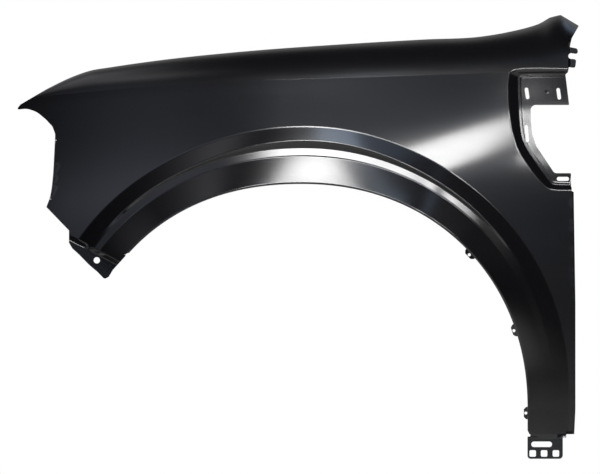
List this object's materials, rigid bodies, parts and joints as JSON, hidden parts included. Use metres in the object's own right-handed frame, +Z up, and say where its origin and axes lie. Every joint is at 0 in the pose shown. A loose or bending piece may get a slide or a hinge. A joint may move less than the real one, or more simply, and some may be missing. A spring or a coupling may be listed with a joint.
{
  "type": "car fender",
  "caption": "Left front fender panel of a utility car: pressed steel with wheel-arch flare, vent cut-out, rail ledge and screw tabs.",
  "frame": {"origin": "middle of the rail seat, on the underside of the ledge along the upper edge", "axes": "+X to the rear of the car, +Y inboard, +Z up; the outer skin faces -Y"},
  "size_m": [1.0544, 0.2218, 0.8343],
  "materials": {
    "black_e_coat": "satin black electro-dipped primer on steel"
  },
  "bodies": {
    "root": {"fender_panel": "black_e_coat"}
  },
  "joints": []
}
